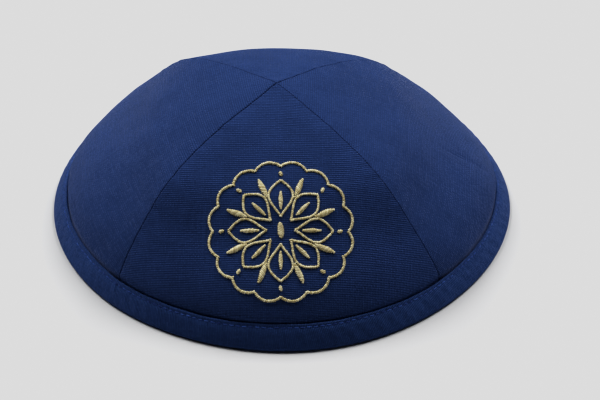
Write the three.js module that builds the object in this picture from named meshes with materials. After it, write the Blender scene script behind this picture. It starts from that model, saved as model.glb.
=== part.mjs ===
// Kippah skullcap: a shallow crown of four sewn linen panels with a folded bias binding round its rim.
// Millimetres, +Z up. The origin is the centre of the rim on the surface that the cap rests on.
// The front panel faces -Y and +X is to its right. Angles go round from the front towards +X.
import * as THREE from 'three';

// Driving sizes of the crown
const RIM_DIAMETER = 165; // across the crown's line where it meets the surface
const CROWN_HEIGHT = 51.1; // from the surface to the point where the four panels meet
const PANEL_WALL = 1; // linen, fusing and lining together
const SEAM_GAP = 0.3; // between the edges of neighbouring panels
const POINT_TRIM = 0.3; // how much further the panels' tips are trimmed back than their edges

// Driving sizes of the binding, measured up the slope from the surface
const BINDING_WIDTH = 9.5; // outer leg
const BINDING_RETURN = 8; // inner leg
const BINDING_CLOTH = 1; // tape folded double
const BINDING_PROUD = 0.5; // how far its face stands above the crown's line
const FOOT_ANGLE = 26; // degrees of the fold either side of its lowest line, pressed flat
const PANEL_HEM = 3.5; // height of the panels' raw edge inside the fold
const DIP_LENGTH = 4; // stretch above the binding where the panels sink under it
const CLEARANCE = 0.3; // between the binding and what it holds

// The meeting point lies off the rim's centre, as the cap was sewn
const POINT_SHIFT = { right: -1.7, back: 1.5 };

// Seams, in degrees: the angle at the rim, and how far each bows sideways halfway up.
// Each panel lies between its own row's seam and the next row's.
const SEAMS = [
  { panel: 'panel_front', rim: -45.3, bow: -0.6 },
  { panel: 'panel_right', rim: 45.3, bow: -2 },
  { panel: 'panel_back', rim: 136.7, bow: 0.4 },
  { panel: 'panel_left', rim: 221.8, bow: 2.6 },
];

// Crown sections: reach is the share of the rim's radius and height the share of the crown's height.
// Flatness tells how a panel spans its two seams there: 0 is a round arc and 1 is a straight line.
const SECTIONS = [
  { reach: 0, height: 1, flatness: 0.89 },
  { reach: 0.2, height: 0.95, flatness: 0.86 },
  { reach: 0.4, height: 0.87, flatness: 0.72 },
  { reach: 0.6, height: 0.729, flatness: 0.49 },
  { reach: 0.75, height: 0.538, flatness: 0.36 },
  { reach: 0.88, height: 0.31, flatness: 0.1 },
  { reach: 1, height: 0, flatness: 0 },
];

// How finely the curved forms are faceted
const COLUMNS = 16; // across each panel
const CROWN_ROWS = 12; // from the meeting point to the dip above the binding
const DIP_ROWS = 3;
const HEM_ROWS = 2; // of the panel, under the binding
const LEG_ROWS = 3;
const FOLD_STEPS = 3; // from the binding's face round to its foot
const SLOPE_STEP = 0.002; // of reach, over which a slope is measured
const LENGTH_STEP = 0.004; // of reach, over which a length up the slope is added up

const FULL_TURN = 360;
const rimRadius = RIM_DIAMETER / 2;
const foldRadius = BINDING_CLOTH + CLEARANCE / 2;

// Lifts above the crown's line of each face under the binding, from the outside inwards
const faceBack = BINDING_PROUD - BINDING_CLOTH;
const panelTop = faceBack - CLEARANCE;
const returnBack = panelTop - PANEL_WALL - CLEARANCE;
const returnFace = returnBack - BINDING_CLOTH;

const radians = THREE.MathUtils.degToRad;
const mix = THREE.MathUtils.lerp;

// Slopes of a column at its rows, kept from overshooting (monotone cubic)
function rowSlopes(column) {
  const steps = SECTIONS.slice(1).map((row, i) => ({
    run: row.reach - SECTIONS[i].reach,
    slope: (row[column] - SECTIONS[i][column]) / (row.reach - SECTIONS[i].reach),
  }));
  return SECTIONS.map((row, i) => {
    const before = steps[i - 1];
    const after = steps[i];
    if (!before) return after.slope;
    if (!after) return before.slope;
    if (before.slope * after.slope <= 0) return 0;
    const weightBefore = before.run + 2 * after.run;
    const weightAfter = 2 * before.run + after.run;
    return (weightBefore + weightAfter) / (weightAfter / before.slope + weightBefore / after.slope);
  });
}
const SLOPES = { height: rowSlopes('height'), flatness: rowSlopes('flatness') };

// Smooth value of a table column at any reach
function section(column, reach) {
  const last = SECTIONS.length - 2;
  const next = SECTIONS.findIndex((row) => row.reach > reach);
  const i = next < 0 ? last : Math.max(next - 1, 0);
  const a = SECTIONS[i];
  const b = SECTIONS[i + 1];
  const run = b.reach - a.reach;
  const t = (reach - a.reach) / run;
  const rise = SLOPES[column][i] * run;
  const fall = SLOPES[column][i + 1] * run;
  const ease = t * t * (3 - 2 * t);
  return mix(a[column], b[column], ease) + t * (1 - t) * ((1 - t) * rise - t * fall);
}

// Angle of a seam at a reach, counted past a full turn so that a panel's right seam is the larger
function seamAngle(index, reach) {
  const seam = SEAMS[index % SEAMS.length];
  const turns = Math.floor(index / SEAMS.length) * FULL_TURN;
  return seam.rim + turns + seam.bow * 4 * reach * (1 - reach);
}

// A place on the crown's line: a panel, the share across it, and a reach
function line(panel, across, reach) {
  const from = seamAngle(panel, reach);
  const to = seamAngle(panel + 1, reach);
  const angle = mix(from, to, across);
  const half = (to - from) / 2;
  const chord = Math.cos(radians(half)) / Math.cos(radians(angle - from - half));
  const radius = rimRadius * reach * (1 - section('flatness', reach) * (1 - chord));
  return { angle, radius, height: CROWN_HEIGHT * section('height', reach) };
}

// The line's outward normal there, as its radial and upright shares
function normal(panel, across, reach) {
  const inner = line(panel, across, Math.max(reach - SLOPE_STEP, 0));
  const outer = line(panel, across, Math.min(reach + SLOPE_STEP, 1));
  const out = outer.radius - inner.radius;
  const down = inner.height - outer.height;
  const length = Math.hypot(out, down);
  return { radial: down / length, upright: out / length };
}

// Point at a radius and height in the upright plane through an angle, leaning with the meeting point
function place(angle, radius, height, reach) {
  const lean = 1 - reach;
  const x = radius * Math.sin(radians(angle)) + POINT_SHIFT.right * lean;
  const y = -radius * Math.cos(radians(angle)) + POINT_SHIFT.back * lean;
  return new THREE.Vector3(x, y, height);
}

// Point lifted off the crown's line along its normal
function lifted(panel, across, reach, lift) {
  const at = line(panel, across, reach);
  const n = normal(panel, across, reach);
  return place(at.angle, at.radius + n.radial * lift, at.height + n.upright * lift, reach);
}

// Reach of the place that lies a length up the slope from the surface
function reachUp(panel, across, length) {
  let reach = 1;
  let walked = 0;
  let from = line(panel, across, reach);
  while (reach > LENGTH_STEP) {
    const to = line(panel, across, reach - LENGTH_STEP);
    const step = Math.hypot(to.radius - from.radius, to.height - from.height);
    if (walked + step >= length) return reach - (LENGTH_STEP * (length - walked)) / step;
    walked += step;
    reach -= LENGTH_STEP;
    from = to;
  }
  return reach;
}

// Two triangles for a quad whose corners run anticlockwise seen from outside
function quad(triangles, a, b, c, d) {
  triangles.push(a, b, c, a, c, d);
}

// Named mesh from its points and triangles
function body(name, points, triangles, material) {
  const geometry = new THREE.BufferGeometry().setFromPoints(points);
  geometry.setIndex(triangles);
  geometry.computeVertexNormals();
  const mesh = new THREE.Mesh(geometry, material);
  mesh.name = name;
  return mesh;
}

// Rows of a panel down one column: each has a reach and the lift of the outer face
function panelColumn(panel, across) {
  const dipTop = reachUp(panel, across, BINDING_WIDTH + DIP_LENGTH);
  const tip = (SEAM_GAP + POINT_TRIM) / rimRadius;
  const rows = [];
  for (let i = 0; i <= CROWN_ROWS; i += 1) {
    rows.push({ reach: mix(tip, dipTop, i / CROWN_ROWS), lift: 0 });
  }
  for (let i = 1; i <= DIP_ROWS; i += 1) {
    const t = i / DIP_ROWS;
    const reach = reachUp(panel, across, BINDING_WIDTH + DIP_LENGTH * (1 - t));
    rows.push({ reach, lift: panelTop * t * t * (3 - 2 * t) });
  }
  for (let i = 1; i <= HEM_ROWS; i += 1) {
    const reach = reachUp(panel, across, mix(BINDING_WIDTH, PANEL_HEM, i / HEM_ROWS));
    rows.push({ reach, lift: panelTop });
  }
  return rows;
}

// Panel: an outer and an inner face of the same rows and columns, joined round their border
function makePanel(panel, material) {
  const outer = [];
  const inner = [];
  for (let j = 0; j <= COLUMNS; j += 1) {
    const share = j / COLUMNS;
    outer.push([]);
    inner.push([]);
    panelColumn(panel, share).forEach(({ reach, lift }) => {
      const width = radians(seamAngle(panel + 1, reach) - seamAngle(panel, reach)) * rimRadius * reach;
      const across = mix(SEAM_GAP / 2 / width, 1 - SEAM_GAP / 2 / width, share);
      outer[j].push(lifted(panel, across, reach, lift));
      inner[j].push(lifted(panel, across, reach, lift - PANEL_WALL));
    });
  }
  const rows = outer[0].length;
  const offset = outer.length * rows;
  const top = (i, j) => j * rows + i;
  const under = (i, j) => offset + top(i, j);
  const triangles = [];
  for (let j = 0; j < COLUMNS; j += 1) {
    for (let i = 0; i < rows - 1; i += 1) {
      quad(triangles, top(i, j), top(i + 1, j), top(i + 1, j + 1), top(i, j + 1));
      quad(triangles, under(i, j), under(i, j + 1), under(i + 1, j + 1), under(i + 1, j));
    }
    quad(triangles, top(0, j), top(0, j + 1), under(0, j + 1), under(0, j));
    quad(triangles, top(rows - 1, j), under(rows - 1, j), under(rows - 1, j + 1), top(rows - 1, j + 1));
  }
  for (let i = 0; i < rows - 1; i += 1) {
    quad(triangles, top(i, 0), under(i, 0), under(i + 1, 0), top(i + 1, 0));
    quad(triangles, top(i, COLUMNS), top(i + 1, COLUMNS), under(i + 1, COLUMNS), under(i, COLUMNS));
  }
  return body(SEAMS[panel].panel, [...outer.flat(), ...inner.flat()], triangles, material);
}

// Centre of the binding's fold: it touches the binding's face, and its foot lies on the surface
function foldCentre(panel, across) {
  const n = normal(panel, across, 1);
  const height = foldRadius * Math.cos(radians(FOOT_ANGLE));
  const radius = rimRadius + (BINDING_PROUD - foldRadius - n.upright * height) / n.radial;
  const faceAngle = Math.atan2(n.upright, n.radial);
  const up = n.radial * height + n.upright * (rimRadius - radius);
  return { radius, height, faceAngle, up };
}

// Where one ply of the tape ends inside the fold: the two plies lie a clearance apart there
function plyEnd(fold, angle, side) {
  const half = (side * CLEARANCE) / 2;
  const out = half * Math.cos(fold.faceAngle);
  const up = half * Math.sin(fold.faceAngle);
  return place(angle, fold.radius + out, fold.height + up, 1);
}

// The fold's outside: from the binding's face round to its flat foot
function foldOutside(fold, angle) {
  const footFront = radians(FOOT_ANGLE - FULL_TURN / 4);
  const turns = [];
  for (let i = 0; i <= FOLD_STEPS; i += 1) turns.push(mix(fold.faceAngle, footFront, i / FOLD_STEPS));
  turns.push(-Math.PI - footFront);
  return turns.map((turn) =>
    place(angle, fold.radius + foldRadius * Math.cos(turn), fold.height + foldRadius * Math.sin(turn), 1));
}

// The binding's section, clockwise from the top of its face: face, fold, foot, inner leg, and back up
function bindingSection(panel, across) {
  const fold = foldCentre(panel, across);
  const { angle } = line(panel, across, 1);
  const at = (up, lift) => lifted(panel, across, reachUp(panel, across, up), lift);
  const foldIn = PANEL_HEM - CLEARANCE;
  const face = [];
  const faceInside = [];
  const returnOutside = [];
  const returnInside = [];
  for (let i = 0; i < LEG_ROWS; i += 1) {
    const t = i / LEG_ROWS;
    face.push(at(mix(BINDING_WIDTH, fold.up, t), BINDING_PROUD));
    faceInside.push(at(mix(BINDING_WIDTH, fold.up, t), faceBack));
    const down = i / (LEG_ROWS - 1);
    returnInside.push(at(mix(BINDING_RETURN, foldIn - BINDING_CLOTH / 2, down), returnFace));
    returnOutside.push(at(mix(BINDING_RETURN, foldIn, down), returnBack));
  }
  const plyEnds = [plyEnd(fold, angle, -1), plyEnd(fold, angle, 1)];
  return [...face, ...foldOutside(fold, angle), ...returnInside.reverse(), ...returnOutside, ...plyEnds,
    ...faceInside.reverse()];
}

// Binding: one section at each column of each panel, joined into a ring
function makeBinding(material) {
  const sections = [];
  for (let panel = 0; panel < SEAMS.length; panel += 1) {
    for (let j = 0; j < COLUMNS; j += 1) sections.push(bindingSection(panel, j / COLUMNS));
  }
  const size = sections[0].length;
  const triangles = [];
  sections.forEach((_, j) => {
    const next = (j + 1) % sections.length;
    for (let i = 0; i < size; i += 1) {
      const below = (i + 1) % size;
      quad(triangles, j * size + i, j * size + below, next * size + below, next * size + i);
    }
  });
  return body('rim_binding', sections.flat(), triangles, material);
}

const linen = new THREE.MeshStandardMaterial({ color: '#1d2f63', roughness: 0.9, metalness: 0 });
const tape = new THREE.MeshStandardMaterial({ color: '#1f3468', roughness: 0.9, metalness: 0 });

const kippah = new THREE.Group();
SEAMS.forEach((_, panel) => kippah.add(makePanel(panel, linen)));
kippah.add(makeBinding(tape));

export default kippah;
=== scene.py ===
import bpy
import numpy as np
from mathutils import Matrix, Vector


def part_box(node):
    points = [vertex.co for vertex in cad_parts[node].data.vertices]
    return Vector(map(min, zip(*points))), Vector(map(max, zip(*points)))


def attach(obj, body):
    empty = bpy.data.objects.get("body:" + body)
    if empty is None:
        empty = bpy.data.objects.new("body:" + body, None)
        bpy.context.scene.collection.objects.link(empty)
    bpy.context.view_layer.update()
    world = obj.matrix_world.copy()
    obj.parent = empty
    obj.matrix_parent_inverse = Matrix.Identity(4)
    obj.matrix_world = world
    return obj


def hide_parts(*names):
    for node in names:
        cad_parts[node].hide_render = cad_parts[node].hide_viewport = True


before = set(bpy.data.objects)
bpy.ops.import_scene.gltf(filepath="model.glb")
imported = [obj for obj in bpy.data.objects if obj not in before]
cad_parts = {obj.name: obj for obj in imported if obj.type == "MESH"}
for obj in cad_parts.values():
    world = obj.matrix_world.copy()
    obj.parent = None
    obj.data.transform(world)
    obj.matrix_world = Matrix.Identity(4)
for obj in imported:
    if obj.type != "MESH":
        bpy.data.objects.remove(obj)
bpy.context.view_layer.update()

# A shallow skullcap of four navy linen panels, a folded linen binding round the rim and a gold rosette
# embroidered on the front panel. Shapes are worked out in millimetres and put into the meshes in metres.
MM = 0.001

# The crown's line, as in the solids: it runs through the panels' outer faces
RIM_INSET = 0.51  # how far the binding's widest line lies inside the crown's line at the surface
POINT_SINK = 0.1  # how far the panels' tips end below the meeting point
rim_low, rim_high = (np.array(corner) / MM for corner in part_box("rim_binding"))
RIM_RADIUS = (rim_high[0] - rim_low[0]) / 2 + RIM_INSET
CROWN_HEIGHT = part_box("panel_front")[1].z / MM + POINT_SINK
POINT_SHIFT = np.array([-1.7, 1.5])  # meeting point from the rim's centre: to the right, to the back
PANELS = ["front", "right", "back", "left"]
SEAM_RIM = np.array([-45.3, 45.3, 136.7, 221.8])  # degrees of each panel's first seam at the rim
SEAM_BOW = np.array([-1.8, -1.1, 0.4, 2.6])  # degrees that each of them bows sideways halfway up
SECTIONS = np.array([  # reach, height and flatness, as shares
    (0, 1, 0.89),
    (0.2, 0.95, 0.86),
    (0.4, 0.87, 0.72),
    (0.6, 0.729, 0.49),
    (0.75, 0.538, 0.36),
    (0.88, 0.31, 0.1),
    (1, 0, 0),
])
REACH, HEIGHT, FLATNESS = SECTIONS.T
RIM_SHIFTS = np.array([  # off a true circle: degrees, millimetres outwards, and spread in degrees
    (90, 0.75, 18),
    (45, -0.85, 20),
    (-22, -0.45, 22),
    (-80, 0.35, 20),
])

# The panels' cloth
PANEL_WALL = 1.0
THINNEST_WALL = 0.05  # left where a seam's groove comes close to the inner face
PANEL_HEM = 3.5  # up the slope, inside the binding
DIP_LENGTH = 2.8  # over which the panels sink under the binding
DIP_UNDER = 0.7  # how far below the binding's edge they have sunk fully
SEAM_GAP = 0.05  # between two panels' edges at the bottom of their groove
TIP_TRIM = 0.35  # from the meeting point to the panels' tips
EDGE_ZONE = 3.0  # strip beside each seam with closer columns

# Where the cloth turns down into each seam, one row for each: the roll at its edge and the rounded shoulder
ROLL_REACH = np.array([0.04, 0.2, 0.5, 0.75])
ROLL_RADIUS = np.array([
    (0.6, 0.55, 0.45, 0.4),
    (0.2, 0.3, 0.27, 0.3),
    (0.5, 0.3, 0.25, 0.4),
    (0.25, 0.2, 0.2, 0.4),
])
SHOULDER_DROP = np.array([
    (0.45, 0.6, 0.65, 0.4),
    (0.4, 0.55, 0.65, 0.4),
    (0.3, 0.4, 0.45, 0.4),
    (0.3, 0.35, 0.2, 0.1),
])
SHOULDER_WIDTH = 7.5
ROLL_PARTS, SHOULDER_PARTS = 3, 2.2  # near the tip neither is wider than the panel's width over these
FULL_DROP_WIDTH, FULL_SOFT_WIDTH = 20, 14  # panel widths under which drop and unevenness fade out
DRAW_LENGTH = 1.9  # along a seam, from one place where its thread draws the roll in to the next
DRAWN_ROLL, LOOSE_ROLL = 0.87, 0.22  # share of the roll's radius there, and what is let out between
PUCKER_DEPTH, PUCKER_WIDTH, PUCKER_SEED = 0.1, 4.0, 40
PUCKER_WAVES = ((1.15, 1), (0.73, 0.7), (2.9, 1))  # millimetres to a radian, and share, of each wave
PUCKER_SUM = 1.7  # divides the sum of the waves, whose peaks mostly reach about that

# Soft forms of the panels, in millimetres
SOFT_WAVES = ((34, 0.16, 3), (11, 0.05, 5))  # length, depth and seed of broad and short unevenness
CREASE_PANEL = PANELS.index("right")
CREASE_ACROSS, CREASE_REACH = (0.447, 0.483), (0.73, 0.925)  # shares at its two ends
CREASE_DEPTH, CREASE_WIDTH = 0.17, 1.0
CREASE_FADE = 0.3  # share of its length over which either end fades
PUFF_UP, PUFF_RISE, PUFF_FALL = 13.0, 3.5, 11.0  # the cloth swells out above the binding
PUFFS = np.array([  # degrees round the rim and millimetres
    (25, 0.25),
    (80, 1.05),
    (104, 1.0),
    (113, 0.3),
    (122, -0.15),
    (134, 0.6),
    (142, 0.3),
    (221, 0.4),
    (229, 1.1),
    (236, 0.85),
    (246, 0.85),
    (256, 1.05),
    (280, 1.05),
    (335, 0.25),
])
# The right back seam lies rounded off, the left one on a soft ridge: seam, millimetres, middle and length in
# reach, and the millimetres' spread into the panel before it and the one after it
SEAM_LIFTS = (
    (2, -0.3, 0.72, 0.26, 10, 5),
    (3, 0.75, 0.52, 0.15, 12, 9),
)
BACK_SWELL, BACK_REACH, BACK_LENGTH = 0.4, 0.52, 0.26  # the back panel is fuller either side of its middle

# The binding's tape, measured up the slope from the surface
TAPE_WIDTH = 9.5
TAPE_RETURN = 8.0
TAPE_CLOTH = 1.0
TAPE_PROUD = 0.5
CLEARANCE = 0.3
FOLD_RADIUS = TAPE_CLOTH + CLEARANCE / 2
FOOT_ANGLE = 26.0  # of the flat foot's edge off straight down
EDGE_ROUND = TAPE_CLOTH / 2
EDGE_SINK, SINK_LENGTH = 0.2, 4  # the tape's upper edge is drawn in by its stitches
# Waves of the tape's edge: height, how many fill the rim, and start in radians
EDGE_WAVES = ((0.16, 5, 1), (0.1, 13, 2.2), (0.05, 41, 0), (0.05, 397, 0))
BUMP_HEIGHT, BUMP_DOWN, BUMP_WIDTH = 0.05, 0.4, 0.6  # threads that show along the upper edge
BUMP_WAVES = ((1, 1.2), (0.6, 3.33))  # share and length
# The tape swells out between its stitches and the fold, fading in below the one and above the other
TAPE_SWELL, SWELL_BELOW, SWELL_ABOVE, SWELL_FROM = 0.16, 1.6, 3, 1.2
# The stitches drag it into slanting waves of a slowly varying pitch, which fade in the same way
DRAG_HEIGHT, DRAG_PITCH, DRAG_SLANT, DRAG_VARIES = 0.06, 5.3, 0.6, 9
DRAG_BELOW, DRAG_ABOVE = 2, 3

# The top-stitching
STITCH_DEPTH = 1.35  # below the tape's upper edge
STITCH_WAVES = ((0.28, 1, 0.5), (0.08, 7, 0))
STITCH_LENGTH = 2.3
TOP_STITCHES = round(2 * np.pi * RIM_RADIUS / STITCH_LENGTH)
GROOVE_DEPTH, HOLE_DEPTH, GROOVE_WIDTH = 0.05, 0.11, 0.45

# The rosette on the front panel
ROSETTE_UP = 41.3  # its centre, up the slope from the surface
ROSETTE_ACROSS = 0.5155  # and its share across the panel
ROSETTE_RADIUS = 24.9

rng = np.random.default_rng(17)


def smooth(t):
    """Eases from 0 to 1 as t goes from 0 to 1: three t squared less two t cubed."""
    t = np.clip(t, 0, 1)
    return t * t * (3 - 2 * t)


def bell(distance, width):
    """Bell curve that is 1 at no distance and falls to a third at the width."""
    return np.exp(-(distance / width) ** 2)


def unit(vectors):
    """Vectors divided by their lengths."""
    return vectors / np.linalg.norm(vectors, axis=-1, keepdims=True)


def walked_lengths(points):
    """Length walked along each path of points, from 0 at its first: the sum of the straight steps so far."""
    steps = np.linalg.norm(np.diff(points, axis=-2), axis=-1)
    return np.concatenate([np.zeros_like(steps[..., :1]), np.cumsum(steps, -1)], -1)


def unevenness(points, wave, seed, count=9):
    """Soft waviness from about -1 to 1: a sum of sine waves of one length, each with its own direction and
    phase."""
    own = np.random.default_rng(seed)
    directions = 2 * np.pi / wave * unit(own.normal(size=(count, 3)))
    phases = own.uniform(0, 2 * np.pi, count)
    return np.sin(points @ directions.T + phases).sum(-1) / np.sqrt(count)


# The crown's line
SLOPE_STEP = 0.002
UP_STEPS = 200


def section_slopes(column):
    """Slopes of a column at its rows: the weighted harmonic mean of the steps beside each, so that nothing
    overshoots."""
    run = np.diff(REACH)
    rise = np.diff(column) / run
    before = run[:-1] + 2 * run[1:]
    after = 2 * run[:-1] + run[1:]
    inner = (before + after) / (after / rise[:-1] + before / rise[1:])
    return np.concatenate([rise[:1], inner, rise[-1:]])


def section(column, reach):
    """Smooth value of a column at any reach: a cubic between two rows that takes the slopes at both."""
    i = np.clip(np.searchsorted(REACH, reach, side="right") - 1, 0, len(REACH) - 2)
    run = np.diff(REACH)[i]
    t = (reach - REACH[i]) / run
    slopes = section_slopes(column)
    rise, fall = slopes[i] * run, slopes[i + 1] * run
    straight_part = column[i] + (column[i + 1] - column[i]) * smooth(t)
    return straight_part + t * (1 - t) * ((1 - t) * rise - t * fall)


def seam_angle(index, reach):
    """Degrees of a seam at a reach: its rim angle, whole turns past the fourth, and a bow that is widest
    halfway."""
    seam = index % len(SEAM_RIM)
    turns = index // len(SEAM_RIM) * 360
    return SEAM_RIM[seam] + turns + SEAM_BOW[seam] * 4 * reach * (1 - reach)


def rim_shift(angle):
    """Millimetres outwards from the rim's circle at an angle: a bell curve for each row of the table."""
    away = (np.asarray(angle)[..., None] - RIM_SHIFTS[:, 0] + 180) % 360 - 180
    return (RIM_SHIFTS[:, 1] * bell(away, RIM_SHIFTS[:, 2])).sum(-1)


def crown_line(panel, across, reach):
    """Angle, radius and height on the crown's line. The radius is the reach's share of the rim's, drawn in
    towards the chord between the panel's two seams by the flatness, and the height is the section's share of
    the crown's. The rim's shift grows with the square of the reach."""
    first, second = seam_angle(panel, reach), seam_angle(panel + 1, reach)
    angle = first + (second - first) * across
    half = (second - first) / 2
    chord = np.cos(np.radians(half)) / np.cos(np.radians(angle - first - half))
    radius = RIM_RADIUS * reach * (1 - section(FLATNESS, reach) * (1 - chord)) + rim_shift(angle) * reach**2
    return angle, radius, CROWN_HEIGHT * section(HEIGHT, reach)


def crown_normal(panel, across, reach):
    """Radial and upright shares of the line's normal, from the difference over a small step of reach either
    side."""
    inner = crown_line(panel, across, np.maximum(reach - SLOPE_STEP, 0))
    outer = crown_line(panel, across, np.minimum(reach + SLOPE_STEP, 1))
    out, down = outer[1] - inner[1], inner[2] - outer[2]
    length = np.hypot(out, down)
    return down / length, out / length


def place(angle, radius, height, reach):
    """Point at a radius and height in the upright plane through an angle, shifted with the meeting point by
    what the reach leaves of 1."""
    turn = np.radians(angle)
    x = radius * np.sin(turn) + POINT_SHIFT[0] * (1 - reach)
    y = -radius * np.cos(turn) + POINT_SHIFT[1] * (1 - reach)
    return np.stack(np.broadcast_arrays(x, y, height), -1)


def lifted(panel, across, reach, lift):
    """Point lifted off the crown's line along its normal."""
    angle, radius, height = crown_line(panel, across, reach)
    radial, upright = crown_normal(panel, across, reach)
    return place(angle, radius + radial * lift, height + upright * lift, reach)


def slope_lengths(panel, across):
    """Even steps of reach from the rim to the meeting point, and the length walked up the slope at each."""
    steps = np.linspace(1, 0, UP_STEPS + 1)
    _, radius, height = crown_line(np.asarray(panel)[..., None], np.asarray(across)[..., None], steps)
    return steps, walked_lengths(np.stack(np.broadcast_arrays(radius, height), -1))


def lengths_beside(walked, step):
    """Walked lengths at a step and at the one after it."""
    return [np.take_along_axis(walked, i[..., None], -1)[..., 0] for i in (step, step + 1)]


def length_up(panel, across, reach):
    """Length up the slope from the surface to a reach, read between two steps of the walked lengths."""
    _, walked = slope_lengths(panel, across)
    at = (1 - reach) * UP_STEPS
    step = np.clip(at.astype(int), 0, UP_STEPS - 1)
    low, high = lengths_beside(walked, step)
    return low + (high - low) * (at - step)


def reach_up(panel, across, length):
    """Reach of the place that lies a length up the slope, read between two steps of the walked lengths."""
    steps, walked = slope_lengths(panel, across)
    step = np.clip((walked <= np.asarray(length)[..., None]).sum(-1) - 1, 0, UP_STEPS - 1)
    low, high = lengths_beside(walked, step)
    return steps[step] - (length - low) / (high - low) / UP_STEPS


# Relief of the panels' cloth

def seam_distances(panel, across, reach):
    """Millimetres from a place to the panel's first and second seam: the turn to each times the radius."""
    angle, radius, _ = crown_line(panel, across, reach)
    first = np.radians(angle - seam_angle(panel, reach)) * radius
    second = np.radians(seam_angle(panel + 1, reach) - angle) * radius
    return first, second


def above_binding(up):
    """Share from 0 to 1 that the cloth has risen out of the binding at a length up the slope."""
    return smooth((up - TAPE_WIDTH + DIP_UNDER) / DIP_LENGTH)


def binding_dip(up):
    """Lift that keeps the cloth a clearance below the tape's back, fading out above the binding."""
    return (TAPE_PROUD - TAPE_CLOTH - CLEARANCE) * (1 - above_binding(up))


def seam_drop(seam, reach, width):
    """How far the cloth has fallen away at a seam: the table's drop at that reach, less where the panel is
    narrow."""
    return np.interp(reach, ROLL_REACH, SHOULDER_DROP[seam]) * smooth(width / FULL_DROP_WIDTH)


def seam_relief(seam, distance, along, reach, width):
    """Lift beside one seam: the cloth falls away towards it with the square of the nearness, its edge rolls
    down on a quarter circle, and the thread puckers it in short uneven waves that fade away from the seam."""
    distance = np.maximum(distance - SEAM_GAP / 2, 0)
    phases = np.random.default_rng(PUCKER_SEED + seam).uniform(0, 2 * np.pi, len(PUCKER_WAVES))
    radius = np.minimum(np.interp(reach, ROLL_REACH, ROLL_RADIUS[seam]), width / ROLL_PARTS)
    radius = radius * (DRAWN_ROLL + LOOSE_ROLL * np.abs(np.sin(np.pi * along / DRAW_LENGTH)))
    roll = radius - np.sqrt(np.maximum(radius**2 - np.maximum(radius - distance, 0) ** 2, 0))
    shoulder_width = np.minimum(SHOULDER_WIDTH, width / SHOULDER_PARTS)
    shoulder = -seam_drop(seam, reach, width) * np.maximum(1 - distance / shoulder_width, 0) ** 2
    waves = 0
    for (radian, share), phase in zip(PUCKER_WAVES, phases):
        waves = waves + share * np.sin(along / radian + phase)
    return shoulder + PUCKER_DEPTH * waves / PUCKER_SUM * bell(distance, PUCKER_WIDTH) - roll


def seam_lift(seam, reach, distance, before):
    """Lift along a back seam: a bell curve of the reach times one of the distance, which spreads differently
    into the panel before the seam and the one after it."""
    lift = 0
    for row, height, middle, length, spread_before, spread_after in SEAM_LIFTS:
        if row == seam:
            spread = spread_before if before else spread_after
            lift = height * bell(reach - middle, length) * bell(distance, spread)
    return lift


def crease_relief(panel, across, reach):
    """A faint pressed-in fold: a bell-shaped trough along the straight line between two places, whose ends
    fade."""
    t = (reach - CREASE_REACH[0]) / (CREASE_REACH[1] - CREASE_REACH[0])
    middle = CREASE_ACROSS[0] + (CREASE_ACROSS[1] - CREASE_ACROSS[0]) * t
    aside = (across - middle) * np.pi / 2 * RIM_RADIUS * reach
    ends = smooth(t / CREASE_FADE) * smooth((1 - t) / CREASE_FADE)
    return -CREASE_DEPTH * bell(aside, CREASE_WIDTH) * ends * (panel == CREASE_PANEL)


def puff(angle, up):
    """Lift of the cloth where it swells out above the binding: a lopsided bell up the slope, whose height
    runs straight from row to row of the table round the rim."""
    lift = np.interp(angle, *PUFFS.T, period=360)
    away = up - PUFF_UP
    return lift * bell(away, np.where(away < 0, PUFF_RISE, PUFF_FALL))


def back_swell(panel, across, reach):
    """Lift of the back panel: two half waves across it, squared, and a bell curve of the reach."""
    waves = np.sin(2 * np.pi * across) ** 2
    return BACK_SWELL * waves * bell(reach - BACK_REACH, BACK_LENGTH) * (panel == PANELS.index("back"))


def panel_relief(panel, across, reach):
    """Lift of a panel's outer face off the crown's line: broad and short unevenness, the crease, the swells,
    the lift and the relief at its two seams, and the dip under the binding, where all but the seams' relief
    fades out."""
    up = length_up(panel, across, reach)
    first, second = seam_distances(panel, across, reach)
    width = first + second
    points = lifted(panel, across, reach, 0)
    soft = sum(depth * unevenness(points, wave, seed) for wave, depth, seed in SOFT_WAVES)
    soft = soft * smooth(width / FULL_SOFT_WIDTH)
    edges, swell = 0, back_swell(panel, across, reach)
    for seam, distance, before in ((panel, first, False), ((panel + 1) % len(PANELS), second, True)):
        edges = edges + seam_relief(seam, distance, up, reach, width)
        swell = swell + seam_lift(seam, reach, distance, before)
    swell = swell + puff(crown_line(panel, across, reach)[0], up)
    return binding_dip(up) + (soft + crease_relief(panel, across, reach) + swell) * above_binding(up) + edges


def floor_relief(panel, across, reach):
    """Lift of a panel's inner face: its wall's thickness under the crown's line, and under the dip below the
    binding."""
    return binding_dip(length_up(panel, across, reach)) - PANEL_WALL


# Meshes

def grid_corners(rows, columns, wrap_rows, wrap_columns):
    """Corner indices of a grid's quads, counted without wrapping, each as a row and a column."""
    sides = np.arange(rows - (not wrap_rows)), np.arange(columns - (not wrap_columns))
    row, column = (side.ravel() for side in np.meshgrid(*sides, indexing="ij"))
    return np.stack([row, row, row + 1, row + 1], -1), np.stack([column, column + 1, column + 1, column], -1)


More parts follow.
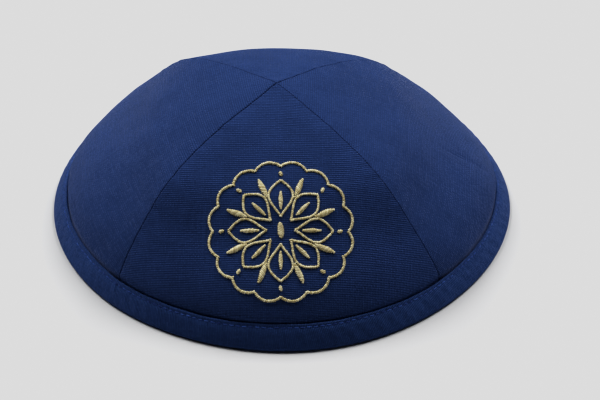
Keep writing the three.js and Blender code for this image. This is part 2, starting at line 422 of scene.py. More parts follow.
def new_piece(name, points, faces, uv, material, tone=None):
    """A piece from points in millimetres and arrays of faces, one array for each number of corners, with UVs
    in millimetres for each corner and a tone for each point."""
    mesh = bpy.data.meshes.new(name)
    corners = np.concatenate([f.ravel() for f in faces]).astype(np.int32)
    counts = np.concatenate([np.full(len(f), f.shape[1]) for f in faces])
    starts = np.concatenate([[0], np.cumsum(counts)[:-1]]).astype(np.int32)
    mesh.vertices.add(len(points))
    mesh.vertices.foreach_set("co", (points * MM).astype(np.float32).ravel())
    mesh.loops.add(len(corners))
    mesh.loops.foreach_set("vertex_index", corners)
    mesh.polygons.add(len(counts))
    mesh.polygons.foreach_set("loop_start", starts)
    mesh.polygons.foreach_set("use_smooth", np.ones(len(counts), bool))
    flat = np.concatenate([u.reshape(-1, 2) for u in uv]).astype(np.float32)
    mesh.uv_layers.new(name="cloth_mm").data.foreach_set("uv", flat.ravel())
    if tone is not None:
        values = mesh.attributes.new("tone", "FLOAT", "POINT").data
        values.foreach_set("value", tone.astype(np.float32).ravel())
    mesh.update(calc_edges=True)
    mesh.validate()
    mesh.materials.append(material)
    piece = bpy.data.objects.new(name, mesh)
    bpy.context.scene.collection.objects.link(piece)
    return piece


# The crown's panels
SLOPE_ROWS, RIM_ROWS, RIM_FROM = 120, 34, 0.84  # rows down to a reach, and closer rows from there
ROW_POWER, COLUMN_POWER = 1.25, 1.5  # rows lie closer near the tip, and columns near a seam
EDGE_COLUMNS, MIDDLE_COLUMNS = 16, 120
THREAD_TILT = 38.8  # degrees: the slope on which a panel's threads lie straight
GRAIN_TURN = np.array([-1.5, 0, 0, 11])  # degrees that each panel is cut off the straight grain


def panel_shares(width):
    """Shares across a panel for its columns: close together in a strip at each seam and even between, less
    half the seam's gap at either end."""
    zone = np.minimum(EDGE_ZONE, width / 4) / width
    left = zone * (np.arange(EDGE_COLUMNS) / EDGE_COLUMNS) ** COLUMN_POWER
    middle = zone + (1 - 2 * zone) * np.linspace(0, 1, MIDDLE_COLUMNS + 1)
    shares = np.concatenate([left, middle, 1 - left[:, ::-1]], 1)
    gap = SEAM_GAP / 2 / width
    return gap + (1 - 2 * gap) * shares


def thread_coordinates(panel, points):
    """Millimetres along the weft and the warp: the threads lie straight on the panel as it is seen square on,
    stretched sideways as round the rim's circle and lengthways as down the panel's middle line."""
    middle = np.radians((seam_angle(panel, 1) + seam_angle(panel + 1, 1)) / 2)
    tilt = np.radians(THREAD_TILT)
    grain = np.radians(GRAIN_TURN[panel])
    sideways = np.array([np.cos(middle), np.sin(middle), 0])
    down = np.array([np.sin(middle) * np.cos(tilt), -np.cos(middle) * np.cos(tilt), -np.sin(tilt)])
    around = RIM_RADIUS * np.arcsin(np.clip(points @ sideways / RIM_RADIUS, -0.99, 0.99))
    reach = np.linspace(0, 1, UP_STEPS)
    line = lifted(panel, 0.5 * np.ones_like(reach), reach, 0)
    flat = np.stack([around, np.interp(points @ down, line @ down, walked_lengths(line))], -1)
    return flat @ np.array([[np.cos(grain), np.sin(grain)], [-np.sin(grain), np.cos(grain)]])


def make_panel(panel, material):
    """A panel as a ring of columns, out across its outer face and back across its inner face, for each row of
    reach from its tip to its hem, closed at both ends."""
    tip = TIP_TRIM / RIM_RADIUS
    hem = reach_up(panel, 0.5, PANEL_HEM)
    ends = np.array([tip, RIM_FROM]) ** (1 / ROW_POWER)
    upper_rows = np.linspace(*ends, SLOPE_ROWS, endpoint=False) ** ROW_POWER
    rows = np.concatenate([upper_rows, np.linspace(RIM_FROM, hem, RIM_ROWS)])
    width = np.radians(seam_angle(panel + 1, rows) - seam_angle(panel, rows)) * RIM_RADIUS * rows
    across = panel_shares(width[:, None])
    reach = np.repeat(rows[:, None], across.shape[1], 1)
    relief = panel_relief(panel, across, reach)
    under = np.minimum(floor_relief(panel, across, reach), relief - THINNEST_WALL)
    outer = lifted(panel, across, reach, relief)
    inner = lifted(panel, across, reach, under)
    ring = np.concatenate([outer, inner[:, ::-1]], 1).transpose(1, 0, 2)
    count, length = ring.shape[:2]
    k, i = grid_corners(count, length, True, False)
    threads = thread_coordinates(panel, ring)
    j = np.arange(count // 2 - 1)
    cap = np.stack([j, j + 1, count - 2 - j, count - 1 - j], -1) * length
    caps = np.concatenate([cap, cap[:, ::-1] + length - 1])
    faces = [k % count * length + i, caps]
    uv = [threads[k % count, i], threads.reshape(-1, 2)[caps]]
    return new_piece("crown_" + PANELS[panel], ring.reshape(-1, 3), faces, uv, material)


# The binding
TAPE_COLUMNS = 340  # for each panel
OUTSIDE_FROM = 0.12  # share of the fold's outer turn that the face covers
INSIDE_TURN = 0.5  # radians of the fold's inner turn
BACK_FROM = 0.1  # share of the way up from the fold where the outer leg's back starts


def rim_columns(count):
    """Panel and share across of evenly spaced places round the rim, counted from the first seam."""
    turn = np.arange(count)[:, None] / count * len(PANELS)
    return turn.astype(int), turn % 1


def rim_place(angle):
    """Panel and share across of an angle at the rim."""
    turned_back = (angle - SEAM_RIM[0]) % 360 + SEAM_RIM[0]
    panel = (turned_back[..., None] >= SEAM_RIM).sum(-1) - 1
    first = seam_angle(panel, 1.0)
    second = seam_angle(panel + 1, 1.0)
    return panel, (turned_back - first) / (second - first)


def rim_length(angle):
    """Millimetres round the rim at an angle."""
    return np.radians(angle) * RIM_RADIUS


def waver(angle, waves):
    """Slow waviness round the rim: a sum of sine waves, each with its height, its count and its start."""
    return sum(height * np.sin(count * np.radians(angle) + start) for height, count, start in waves)


def tape_edge(angle):
    """Length up the slope of the tape's upper edge: its width, with a slight waver from the hand that folded
    it."""
    return TAPE_WIDTH + waver(angle, EDGE_WAVES)


def stitch_line(angle):
    """Length up the slope of the top-stitching: its depth below the tape's edge, with a slow waver."""
    return tape_edge(angle) - STITCH_DEPTH + waver(angle, STITCH_WAVES)


def tape_relief(angle, up):
    """Lift of the tape's face off its own: a bumpy upper edge, a groove along the stitches that is deepest at
    each needle hole, a soft swell below it, and short slanting waves where the stitches drag the cloth."""
    along = rim_length(angle)
    below = stitch_line(angle) - up
    from_edge = tape_edge(angle) - up
    hole = 0.5 + 0.5 * np.cos(TOP_STITCHES * np.radians(angle))
    groove = -(GROOVE_DEPTH + HOLE_DEPTH * hole) * bell(below, GROOVE_WIDTH)
    bumps = sum(share * np.sin(2 * np.pi * along / length) for share, length in BUMP_WAVES)
    edge = BUMP_HEIGHT * bell(from_edge - BUMP_DOWN, BUMP_WIDTH) * bumps
    drawn = -EDGE_SINK * (1 - smooth(from_edge / SINK_LENGTH))
    swell = TAPE_SWELL * smooth(below / SWELL_BELOW) * smooth((up - SWELL_FROM) / SWELL_ABOVE)
    slant = 2 * np.pi * (along + DRAG_SLANT * up) / DRAG_PITCH
    drag = DRAG_HEIGHT * np.sin(slant + np.sin(along / DRAG_VARIES))
    return groove + edge + drawn + swell + drag * smooth(below / DRAG_BELOW) * smooth(up / DRAG_ABOVE)


def make_binding(material):
    """The tape as one closed section carried round the rim: face, fold, flat foot, inner leg, and back up
    between its legs, with half-round edges."""
    panel, across = rim_columns(TAPE_COLUMNS * len(PANELS))
    angle, rim_radius, _ = crown_line(panel, across, 1.0)
    radial, upright = crown_normal(panel, across, 1.0)
    fold_height = FOLD_RADIUS * np.cos(np.radians(FOOT_ANGLE))
    fold_radius = rim_radius + (TAPE_PROUD - FOLD_RADIUS - upright * fold_height) / radial
    fold_up = radial * fold_height + upright * (rim_radius - fold_radius)
    face_turn = np.arctan2(upright, radial)
    foot = np.radians(FOOT_ANGLE - 90)
    edge = tape_edge(angle) - EDGE_ROUND
    back_lift = TAPE_PROUD - TAPE_CLOTH
    leg_back = back_lift - CLEARANCE - PANEL_WALL - CLEARANCE
    leg_face = leg_back - TAPE_CLOTH
    leg_top = TAPE_RETURN - EDGE_ROUND
    leg_foot = PANEL_HEM - CLEARANCE

    def on_slope(up, lift):
        """Points at lengths up the slope, lifted off it."""
        return lifted(panel, across, reach_up(panel, across, up + 0 * angle), lift)

    def round_fold(turn, radius):
        """Points on a circle round the fold's middle."""
        return place(angle, fold_radius + radius * np.cos(turn), fold_height + radius * np.sin(turn), 1.0)

    face_up = edge + (fold_up - edge) * np.linspace(0, 1, 26)
    face = on_slope(face_up, TAPE_PROUD + tape_relief(angle, face_up))
    outside = round_fold(face_turn + (foot - face_turn) * np.linspace(OUTSIDE_FROM, 1, 7), FOLD_RADIUS)
    inside = round_fold(-np.pi - foot - np.linspace(0, INSIDE_TURN, 4), FOLD_RADIUS)
    leg = on_slope(np.linspace(leg_foot - TAPE_CLOTH / 2, leg_top, 7), leg_face)
    leg_turn = np.linspace(0, np.pi, 6)[1:-1]
    leg_lift = leg_face + EDGE_ROUND * (1 - np.cos(leg_turn))
    leg_round = on_slope(leg_top + EDGE_ROUND * np.sin(leg_turn), leg_lift)
    leg_inner = on_slope(np.linspace(leg_top, leg_foot, 4), leg_back)
    ends = [round_fold(face_turn, side * CLEARANCE / 2) for side in (-1, 1)]
    back = on_slope(fold_up + (edge - fold_up) * np.linspace(BACK_FROM, 1, 6), back_lift)
    edge_turn = np.linspace(0, np.pi, 10)[1:-1]
    edge_lift = (EDGE_ROUND + tape_relief(angle, edge) / 2) * (1 - np.cos(edge_turn))
    edge_round = on_slope(edge + EDGE_ROUND * np.sin(edge_turn), back_lift + edge_lift)
    ring = np.concatenate([face, outside, inside, leg, leg_round, leg_inner, *ends, back, edge_round], 1)
    count, length = ring.shape[:2]
    k, i = grid_corners(count, length, True, True)
    quads = k % count * length + i % length
    section_length = walked_lengths(np.append(ring[0], ring[:1, 0], 0))
    around = np.append(rim_length(angle[:, 0]), rim_length(angle[0, 0] + 360))
    uv = np.stack([around[k], section_length[i]], -1)
    return new_piece("binding_tape", ring.reshape(-1, 3), [quads], [uv], material)


# Threads
THREAD_SIDES = 6
THREAD_TAPER = 0.4  # share of a thread's thickness at either end
TOP_THREAD = 0.34, 0.28  # width and thickness where it lies flat
SEAM_THREAD = 0.34, 0.3
GOLD_THREAD = 0.56, 0.5
TOP_ARCH, TOP_SINK = 0.02, 0.4  # a stitch's middle above the face, and how much lower its ends lie
SEAM_ARCH, SEAM_SINK = 0.2, 0.15  # and the same above a panel's inner face
SEAM_STITCH = 2.2
SEAM_START = TAPE_WIDTH - 2  # up the slope, under the binding's edge
UNEVEN = 0.05  # how far the machine misses a stitch's place


def new_threads(name, paths, ups, size, material):
    """Threads as closed tubes: each path of points carries an ellipse that lies flat against the cloth below
    it and narrows at both ends. Ups are the cloth's normals at the points. Each thread has its own tone."""
    count, steps = paths.shape[:2]
    width, height = size
    along = unit(np.gradient(paths, axis=1))
    side = unit(np.cross(ups, along))
    rise = np.cross(along, side)
    turn = np.arange(THREAD_SIDES) / THREAD_SIDES * 2 * np.pi
    taper = np.full(steps, 1.0)
    taper[[0, -1]] = THREAD_TAPER
    sideways = side[:, :, None] * (np.cos(turn) * width / 2)[:, None]
    upwards = rise[:, :, None] * (np.sin(turn) * height / 2)[:, None]
    points = paths[:, :, None] + (sideways + upwards) * taper[None, :, None, None]
    s, t = grid_corners(steps, THREAD_SIDES, False, True)
    starts = np.arange(count)[:, None, None] * steps * THREAD_SIDES
    quads = (s * THREAD_SIDES + t % THREAD_SIDES + starts).reshape(-1, 4)
    first = np.arange(THREAD_SIDES)[::-1]
    last = np.arange(THREAD_SIDES) + (steps - 1) * THREAD_SIDES
    caps = (np.stack([first, last]) + starts).reshape(-1, THREAD_SIDES)
    quads_uv = np.stack(np.broadcast_arrays(walked_lengths(paths)[:, s], t / THREAD_SIDES), -1)
    caps_uv = np.zeros((len(caps), THREAD_SIDES, 2))
    tone = np.repeat(rng.uniform(0, 1, count), steps * THREAD_SIDES)
    return new_piece(name, points.reshape(-1, 3), [quads, caps], [quads_uv, caps_uv], material, tone)


def make_top_stitches(material):
    """One thread for each stitch round the tape: it comes up through a needle hole, lies on the face and goes
    down into the next. Holes lie at whole stitches from angle 0."""
    steps = np.linspace(0.04, 0.96, 8)
    turn = 360 / TOP_STITCHES
    first_hole = np.ceil(SEAM_RIM[0] / turn) * turn
    angle = first_hole + (np.arange(TOP_STITCHES)[:, None] + steps) * turn
    panel, across = rim_place(angle)
    up = stitch_line(angle) + rng.normal(0, UNEVEN, (TOP_STITCHES, 1))
    arch = TOP_ARCH - TOP_SINK * np.abs(2 * steps - 1) ** 4
    lift = TAPE_PROUD + tape_relief(angle, up) + arch
    reach = reach_up(panel, across, up)
    paths = lifted(panel, across, reach, lift)
    ups = lifted(panel, across, reach, lift + 1) - paths
    return new_threads("top_stitches", paths, ups, TOP_THREAD, material)


def make_seam_stitches(material):
    """Threads that join the panels, down in the groove of each seam: short stitches from rim to tip."""
    paths, ups = [], []
    steps = np.linspace(0.05, 0.95, 5)
    for panel in range(len(PANELS)):
        total = length_up(panel, np.zeros(1), np.zeros(1))[0]
        count = int((total - SEAM_START) / SEAM_STITCH)
        up = SEAM_START + (np.arange(count)[:, None] + steps) * SEAM_STITCH
        across = np.zeros_like(up)
        reach = reach_up(panel, across, up)
        width = sum(seam_distances(panel, across, reach))
        sunk = SEAM_SINK * np.abs(2 * steps - 1) ** 3 + seam_drop(panel, reach, width)
        lift = floor_relief(panel, across, reach) + SEAM_ARCH - sunk
        paths.append(lifted(panel, across, reach, lift))
        ups.append(lifted(panel, across, reach, lift + 1) - paths[-1])
    return new_threads("seam_stitches", np.concatenate(paths), np.concatenate(ups), SEAM_THREAD, material)


# The embroidered rosette, drawn flat in millimetres from its centre, +x to the right and +y up the slope
SATIN_PITCH = 0.6  # between neighbouring satin stitches; real ones lie 0.4 mm apart, too fine to see here
SATIN_SLANT = 0.6
LOOK_AHEAD = 0.05  # along a line either side of a stitch, for the line's direction there
LINE_WIDTH, PETAL_LINE = 0.85, 0.75
LOBES, LOBE_DEPTH = 16, 1.9
PETALS = 8
PETAL_FROM, PETAL_TO, PETAL_HALF = 4.6, 17.6, 4.1
LEAVES = (  # from, to, widest and degrees from a petal: its vein, the leaf beside it and the dot past its tip
    (7.2, 13.6, 1.4, 0),
    (12.2, 19.6, 2.2, 22.5),
    (19.1, 20.7, 1.3, 0),
)
LEAF_END = 0.25
CENTRE_LENGTH, CENTRE_WIDTH, CENTRE_END = 5.2, 2.6, 0.1
ARCH_LEAST, ARCH_SHARE, ARCH_SINK = 0.3, 0.09, 0.12  # arch of a stitch, more for a long one, and ends' depth
UP_STEP = 1e-3  # of reach, for the rosette's upward direction


def walk(path, pitch):
    """Points at even steps along a path, with the share of its length at each and the direction there."""
    walked = walked_lengths(path)
    count = max(round(walked[-1] / pitch), 2)
    at = (np.arange(count) + 0.5) / count * walked[-1]
    behind, points, ahead = (np.stack([np.interp(at + step, walked, side) for side in path.T], -1)
                             for step in (-LOOK_AHEAD, 0, LOOK_AHEAD))
    return points, at / walked[-1], unit(ahead - behind)


def satin(path, width):
    """Ends of satin stitches laid side by side across a path: each crosses it nearly square, as long as the
    line is wide there, with a little unevenness at its ends. Width is a function of the share along."""
    points, share, along = walk(path, SATIN_PITCH)
    across = unit(np.stack([-along[:, 1], along[:, 0]], -1) + SATIN_SLANT * along)
    jitter = rng.normal(0, UNEVEN, (len(points), 2))
    half = width(share)[:, None] / 2 + jitter
    return np.stack([points - across * half[:, :1], points + across * half[:, 1:]], 1)


def turned(points, degrees):
    """Points turned about the centre."""
    c, s = np.cos(np.radians(degrees)), np.sin(np.radians(degrees))
    return points @ np.array([[c, s], [-s, c]])


def upright_line(start, end):
    """Points up a straight line over the centre."""
    return np.stack([np.zeros(40), np.linspace(start, end, 40)], -1)


def line_width(width):
    """Even width along a line."""
    return lambda share: np.full(len(share), width)


def leaf_width(widest):
    """Width along a leaf: a half sine, nearly pointed at both ends."""
    return lambda share: LEAF_END + widest * np.sin(np.pi * share) ** 0.9


def centre_width(share):
    """Width along the oval centre: an ellipse."""
    return CENTRE_END + 2 * CENTRE_WIDTH * np.sqrt(share * (1 - share))


def petal_outline(side):
    """One side of a pointed petal from its base to its tip: it swings out on a sine whose widest place lies
    past the middle."""
    t = np.linspace(0, 1, 60)
    aside = side * PETAL_HALF * np.sin(np.pi * t**1.25)
    return np.stack([aside, PETAL_FROM + (PETAL_TO - PETAL_FROM) * t], -1)


def rosette_stitches():
    """All satin stitches of the rosette: a lobed border whose radius follows a sine without its sign, eight
    pointed petals with a vein, leaves between them, dots under the lobes and an oval centre."""
    turn = np.linspace(0, 2 * np.pi, 1200)
    lobe = np.abs(np.sin(LOBES / 2 * turn)) ** 0.75
    radius = ROSETTE_RADIUS - LINE_WIDTH / 2 - LOBE_DEPTH + LOBE_DEPTH * lobe
    border = np.stack([radius * np.sin(turn), radius * np.cos(turn)], -1)
    stitches = [satin(border, line_width(LINE_WIDTH))]
    for petal in range(PETALS):
        angle = 360 / PETALS * petal
        for side in (-1, 1):
            stitches.append(turned(satin(petal_outline(side), line_width(PETAL_LINE)), angle))
        for start, end, widest, aside in LEAVES:
            stitches.append(turned(satin(upright_line(start, end), leaf_width(widest)), angle + aside))
    stitches.append(satin(upright_line(-CENTRE_LENGTH / 2, CENTRE_LENGTH / 2), centre_width))
    return np.concatenate(stitches)


def on_panel(flat, across, reach, axes):
    """Share across, reach and normal where the front panel meets the square line through each flat place,
    which is measured from the place at the given share and reach. Newton's method: each round solves for the
    step that makes up what is still missing, from how fast the panel moves with share and reach."""
    centre = lifted(0, across, reach, 0)
    across, reach = np.full(len(flat), across), np.full(len(flat), reach)
    step, rounds = 1e-4, 12
    for _ in range(rounds):
        here = lifted(0, across, reach, 0)
        by_across = (lifted(0, across + step, reach, 0) - here) / step
        by_reach = (lifted(0, across, reach + step, 0) - here) / step
        missing = flat - (here - centre) @ axes
        move = np.linalg.solve(np.stack([by_across @ axes, by_reach @ axes], -1), missing[..., None])
        across = np.clip(across + move[:, 0, 0], 0.02, 0.98)
        reach = np.clip(reach + move[:, 1, 0], 0.1, 0.98)
    return across, reach, unit(np.cross(by_reach, by_across))


def make_rosette(material):
    """Each satin stitch as a thread that leaves the cloth, arches over the padding below and goes back in."""
    ends = rosette_stitches()
    steps = np.linspace(0, 1, 7)
    flat = ends[:, :1] + (ends[:, 1:] - ends[:, :1]) * steps[None, :, None]
    reach = reach_up(0, 0.5, ROSETTE_UP)
    centre = lifted(0, ROSETTE_ACROSS, reach, 0)
    sideways = np.array([1.0, 0, 0])
    normal = unit(np.cross(sideways, lifted(0, ROSETTE_ACROSS, reach - UP_STEP, 0) - centre))
    right = unit(sideways - normal * normal[0])
    axes = np.stack([right, np.cross(normal, right)], -1)
    shares, reaches, ups = on_panel(flat.reshape(-1, 2), ROSETTE_ACROSS, reach, axes)
    length = np.linalg.norm(ends[:, 1] - ends[:, 0], axis=1, keepdims=True)
    arch = (ARCH_LEAST + ARCH_SHARE * length) * (4 * steps * (1 - steps)) ** 0.55 - ARCH_SINK
    paths = lifted(0, shares, reaches, panel_relief(0, shares, reaches) + arch.ravel())
    shape = (*flat.shape[:2], 3)
    return new_threads("rosette_embroidery", paths.reshape(shape), ups.reshape(shape), GOLD_THREAD, material)


# Materials

def linear(code):
    """An sRGB hex colour as linear light, with full alpha."""
    parts = np.array([int(code[i:i + 2], 16) for i in (1, 3, 5)]) / 255
    light = np.where(parts <= 0.04045, parts / 12.92, ((parts + 0.055) / 1.055) ** 2.4)
    return (*light.tolist(), 1.0)


def add(tree, kind, sockets=None, **settings):
    """Adds a node: settings are its properties, and sockets gives each input a value, an output to link, or a
    node whose first output in use is linked."""
    made = tree.nodes.new("ShaderNode" + kind)
    for name, value in settings.items():
        setattr(made, name, value)
    for name, value in (sockets or {}).items():
        if isinstance(value, bpy.types.Node):
            value = next(output for output in value.outputs if output.enabled)
        if isinstance(value, bpy.types.NodeSocket):
            tree.links.new(value, made.inputs[name])
        else:
            made.inputs[name].default_value = value
    return made


def new_material(name):
    """A material with no nodes, and its tree."""
    material = bpy.data.materials.new(name)
    material.use_nodes = True
    material.node_tree.nodes.clear()
    return material, material.node_tree


# Linen's threads: about 17 warp threads and 13 weft threads in a centimetre
WARP_PITCH = 0.6
WEFT_PITCH = 0.76
SLUB_LENGTH = 9.0  # of a thicker stretch along one thread


def woven_linen(name, dark, light, turn=0.0, weft_rib=0.0, warp_rib=0.0):
    """Plain-woven linen. Threads cross over and under each other, so the eye gets a fine grid of raised
    crossings with dark pits between them, brighter slubs along single threads, and slow clouds of dye. The
    pits' darkness is painted shade: the colour darkens with the threads' height. Two sine waves give the
    grid: their product without its sign is the height, and its sign says which thread lies on top. A rib
    from 0 to 1 fills the pits along one way, so that those threads show as lines."""
    material, tree = new_material(name)
    cloth = add(tree, "UVMap", uv_map="cloth_mm")
    drift = add(tree, "TexNoise", {"Vector": cloth, "Scale": 0.03, "Detail": 1.0}, noise_dimensions="2D")
    moved = add(tree, "VectorMath", {0: drift.outputs["Color"], 1: (0.5, 0.5, 0.5)}, operation="SUBTRACT")
    grown = add(tree, "VectorMath", {0: moved, "Scale": 1.6}, operation="SCALE")
    wavy = add(tree, "VectorMath", {0: cloth, 1: grown}, operation="ADD")
    threads = add(tree, "Mapping", {
        "Vector": wavy, "Rotation": (0, 0, np.radians(turn)),
        "Scale": (1 / WARP_PITCH, 1 / WEFT_PITCH, 1)}, vector_type="POINT")
    split = add(tree, "SeparateXYZ", {0: threads})
    waves, heights, numbers = [], [], []
    for side, rib in (("X", weft_rib), ("Y", warp_rib)):
        turns = add(tree, "Math", {0: split.outputs[side], 1: np.pi}, operation="MULTIPLY")
        waves.append(add(tree, "Math", {0: turns}, operation="SINE"))
        plain = add(tree, "Math", {0: waves[-1]}, operation="ABSOLUTE")
        heights.append(add(tree, "Math", {0: plain, 1: 1 - rib, 2: rib}, operation="MULTIPLY_ADD"))
        numbers.append(add(tree, "Math", {0: split.outputs[side]}, operation="FLOOR"))
    crossing = add(tree, "Math", {0: waves[0], 1: waves[1]}, operation="MULTIPLY")
    grid = add(tree, "Math", {0: heights[0], 1: heights[1]}, operation="MULTIPLY")
    raised = add(tree, "Math", {0: grid, 1: 0.6}, operation="POWER")
    warp_over = add(tree, "MapRange", {
        "Value": crossing, "From Min": -0.2, "From Max": 0.2, "To Min": 0.5 * warp_rib,
        "To Max": 1 - 0.7 * weft_rib - 0.5 * warp_rib}, interpolation_type="SMOOTHSTEP")

    slubs = []
    for side, pitch, thread, least, seed in (("X", WARP_PITCH, numbers[1], 0.25, 3.1),
                                             ("Y", WEFT_PITCH, numbers[0], 0.15, 8.6)):
        along = add(tree, "Math", {0: split.outputs[side], 1: pitch / SLUB_LENGTH}, operation="MULTIPLY")
        apart = add(tree, "Math", {0: thread, 1: 5.37}, operation="MULTIPLY")
        spot = add(tree, "CombineXYZ", {"X": along, "Y": apart, "Z": seed})
        noise = add(tree, "TexNoise", {"Vector": spot, "Scale": 1.0, "Detail": 2.0})
        thick = add(tree, "MapRange", {"Value": noise, "From Min": 0.35, "From Max": 0.75},
                    interpolation_type="SMOOTHSTEP")
        slubs.append(add(tree, "Math", {0: thick, 1: 0.6, 2: least}, operation="MULTIPLY_ADD"))
    on_top = add(tree, "Mix", {0: warp_over, 2: slubs[0], 3: slubs[1]}, data_type="FLOAT")
    cell = add(tree, "CombineXYZ", {"X": numbers[0], "Y": numbers[1]})
    own = add(tree, "TexWhiteNoise", {"Vector": cell}, noise_dimensions="2D")
    plain_tone = add(tree, "Math", {0: on_top, 1: 0.15}, operation="SUBTRACT")
    tone = add(tree, "Math", {0: own, 1: 0.45, 2: plain_tone}, operation="MULTIPLY_ADD")
    clouds = add(tree, "TexNoise", {"Vector": cloth, "Scale": 0.05, "Detail": 4.0, "Roughness": 0.6},
                 noise_dimensions="2D")
    swollen = add(tree, "Math", {0: tone, 1: 1.2, 2: 0.3}, operation="MULTIPLY_ADD")
    height = add(tree, "Math", {0: raised, 1: swollen}, operation="MULTIPLY")
    # The colour darkens with the threads' height, times each thread's own tone: painted shade in the pits
    # between them
    lit = add(tree, "Math", {0: tone, 1: 0.9, 2: 0.25}, operation="MULTIPLY_ADD")
    lit_thread = add(tree, "Math", {0: raised, 1: lit}, operation="MULTIPLY")
    dye_and_painted_shade = add(tree, "Math", {0: clouds, 1: 0.4, 2: lit_thread}, operation="MULTIPLY_ADD")
    part = add(tree, "MapRange", {"Value": dye_and_painted_shade, "From Min": -0.35, "From Max": 1.55})
    colour = add(tree, "Mix", {0: part, 6: linear(dark), 7: linear(light)}, data_type="RGBA")
    bump = add(tree, "Bump", {"Height": height, "Strength": 1.0, "Distance": 0.19 * MM})
    shader = add(tree, "BsdfPrincipled", {
        "Base Color": colour, "Roughness": 0.88, "Specular IOR Level": 0.04, "IOR": 1.5, "Normal": bump,
        "Sheen Weight": 0.3, "Sheen Roughness": 0.25, "Sheen Tint": linear("#BCC4EC")})
    add(tree, "OutputMaterial", {"Surface": shader})
    return material


def spun_thread(name, dark, light, roughness, gloss, twist):
    """Spun sewing or embroidery thread. Each stitch has its own tone, and fine slanting ridges of its twist,
    a sine of the length along it, break up the gloss."""
    material, tree = new_material(name)
    tone = add(tree, "Attribute", attribute_name="tone").outputs["Fac"]
    split = add(tree, "SeparateXYZ", {0: add(tree, "UVMap", uv_map="cloth_mm")})
    turns = add(tree, "Math", {0: split.outputs["X"], 1: 1 / twist, 2: split.outputs["Y"]},
                operation="MULTIPLY_ADD")
    radians = add(tree, "Math", {0: turns, 1: 2 * np.pi}, operation="MULTIPLY")
    ridge = add(tree, "Math", {0: radians}, operation="SINE")
    bump = add(tree, "Bump", {"Height": ridge, "Strength": 0.5, "Distance": 0.03 * MM})
    colour = add(tree, "Mix", {0: tone, 6: linear(dark), 7: linear(light)}, data_type="RGBA")
    shader = add(tree, "BsdfPrincipled", {
        "Base Color": colour, "Roughness": roughness, "Specular IOR Level": gloss, "IOR": 1.5,
        "Normal": bump})
    add(tree, "OutputMaterial", {"Surface": shader})
    return material


def matt_board(name, dark, light):
    """A matt painted board: an even off-white, barely clouded."""
    material, tree = new_material(name)
    place_on_it = add(tree, "TexCoord").outputs["Object"]
    clouds = add(tree, "TexNoise", {"Vector": place_on_it, "Scale": 6.0, "Detail": 3.0})
    colour = add(tree, "Mix", {0: clouds, 6: linear(dark), 7: linear(light)}, data_type="RGBA")
    shader = add(tree, "BsdfPrincipled", {"Base Color": colour, "Roughness": 0.9, "Specular IOR Level": 0.1})
    add(tree, "OutputMaterial", {"Surface": shader})
    return material


# The crown's weft stands out a little. The tape's threads lie at a slant and its warp stands out more.
crown_linen = woven_linen("navy_linen", "#16223C", "#375087", weft_rib=0.2)
tape_linen = woven_linen("navy_linen_tape", "#15213F", "#3B5892", turn=10, warp_rib=0.75)
gold_thread = spun_thread("gold_rayon_thread", "#C3B37C", "#FBF1C6", roughness=0.33, gloss=0.5, twist=0.5)
navy_thread = spun_thread("navy_polyester_thread", "#1E3370", "#4467B4", roughness=0.6, gloss=0.15, twist=0.6)

# Pieces
panels = [make_panel(i, crown_linen) for i in range(len(PANELS))]
binding = make_binding(tape_linen)
top_stitches = make_top_stitches(navy_thread)
seam_stitches = make_seam_stitches(navy_thread)
rosette = make_rosette(gold_thread)

for piece, name in zip(panels, PANELS):
    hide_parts("panel_" + name)
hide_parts("rim_binding")
for piece in (*panels, binding, top_stitches, seam_stitches, rosette):
    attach(piece, "root")

# Floor, in metres
FLOOR_HALF = 2.0
floor_corners = [(x * FLOOR_HALF, y * FLOOR_HALF, 0) for x, y in ((-1, -1), (1, -1), (1, 1), (-1, 1))]
floor_mesh = bpy.data.meshes.new("floor")
floor_mesh.from_pydata(floor_corners, [], [(0, 1, 2, 3)])
floor_mesh.materials.append(matt_board("matt_pale_board", "#D0D0D1", "#D3D3D4"))
floor = bpy.data.objects.new("floor", floor_mesh)
bpy.context.scene.collection.objects.link(floor)

# Camera, at the photograph's angle: millimetres and degrees
CAMERA_DISTANCE = 753.9
CAMERA_ASIDE = 1.584
CAMERA_ELEVATION = 38.046
CAMERA_PITCH, CAMERA_YAW, CAMERA_ROLL = 38.024, 0.49, 0.25
FOCAL_PIXELS, PHOTO_WIDTH = 2073.6, 600
SENSOR = 36.0


def axes_matrix(right, up, back, spot):
    """Matrix that turns an object's own axes to three directions and puts it at a spot."""
    return Matrix([[right[i], up[i], back[i], spot[i]] for i in range(3)] + [[0, 0, 0, 1]])


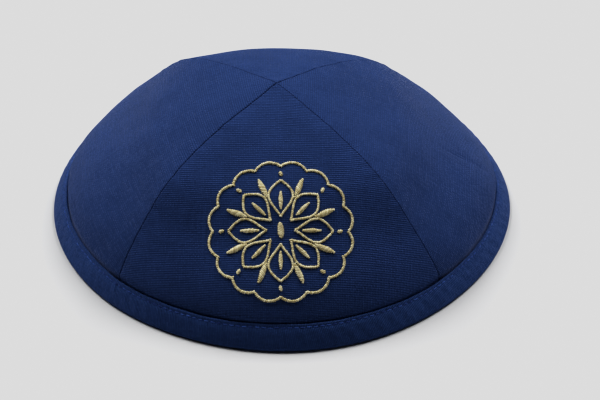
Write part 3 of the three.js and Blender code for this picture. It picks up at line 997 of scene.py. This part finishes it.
elevation, pitch, yaw, roll = np.radians([CAMERA_ELEVATION, CAMERA_PITCH, CAMERA_YAW, CAMERA_ROLL])
eye = np.array([CAMERA_ASIDE, -CAMERA_DISTANCE * np.cos(elevation), CAMERA_DISTANCE * np.sin(elevation)]) * MM
look = np.array([np.sin(yaw) * np.cos(pitch), np.cos(yaw) * np.cos(pitch), -np.sin(pitch)])
level = unit(np.cross(look, [0, 0, 1]))
upward = np.cross(level, look)
right = np.cos(roll) * level + np.sin(roll) * upward
top = -np.sin(roll) * level + np.cos(roll) * upward
camera_data = bpy.data.cameras.new("camera")
camera_data.sensor_width = SENSOR
camera_data.lens = FOCAL_PIXELS / PHOTO_WIDTH * SENSOR
camera = bpy.data.objects.new("camera", camera_data)
camera.matrix_world = axes_matrix(right, top, -look, eye)
bpy.context.scene.collection.objects.link(camera)
bpy.context.scene.camera = camera

# Two soft windows behind the cap: degrees from the back towards the right, degrees above the floor, the width
# of the disc in degrees, and its strength
WINDOWS = {"window_left": (-40, 45, 30, 3.8), "window_right": (40, 45, 30, 3.7)}
for name, (azimuth, above, spread, strength) in WINDOWS.items():
    data = bpy.data.lights.new(name, "SUN")
    data.energy = strength
    data.angle = np.radians(spread)
    turn, rise = np.radians([azimuth, above])
    back = np.array([np.sin(turn) * np.cos(rise), np.cos(turn) * np.cos(rise), np.sin(rise)])
    aside = np.array([np.cos(turn), -np.sin(turn), 0])
    light = bpy.data.objects.new(name, data)
    light.matrix_world = axes_matrix(aside, np.cross(back, aside), back, back)
    bpy.context.scene.collection.objects.link(light)

world = bpy.data.worlds.new("studio")
bpy.context.scene.world = world
world.use_nodes = True
world.node_tree.nodes["Background"].inputs["Color"].default_value = (0.92, 0.96, 1.0, 1)
world.node_tree.nodes["Background"].inputs["Strength"].default_value = 0.02

# The photograph's tones: a little more contrast than plain, and highlights that roll off to the floor's white
WHITE_OUT = 0.766
BENDS = ((0.25, 0.25), (0.6, 0.56))  # light in and light out, between black and white
view = bpy.context.scene.view_settings
view.view_transform = "Standard"
view.gamma = 0.8
view.use_curve_mapping = True
view.curve_mapping.extend = "HORIZONTAL"
combined_curve = view.curve_mapping.curves[3]
combined_curve.points[1].location = (1, WHITE_OUT)
for light_in, light_out in BENDS:
    combined_curve.points.new(light_in, light_out)
view.curve_mapping.update()
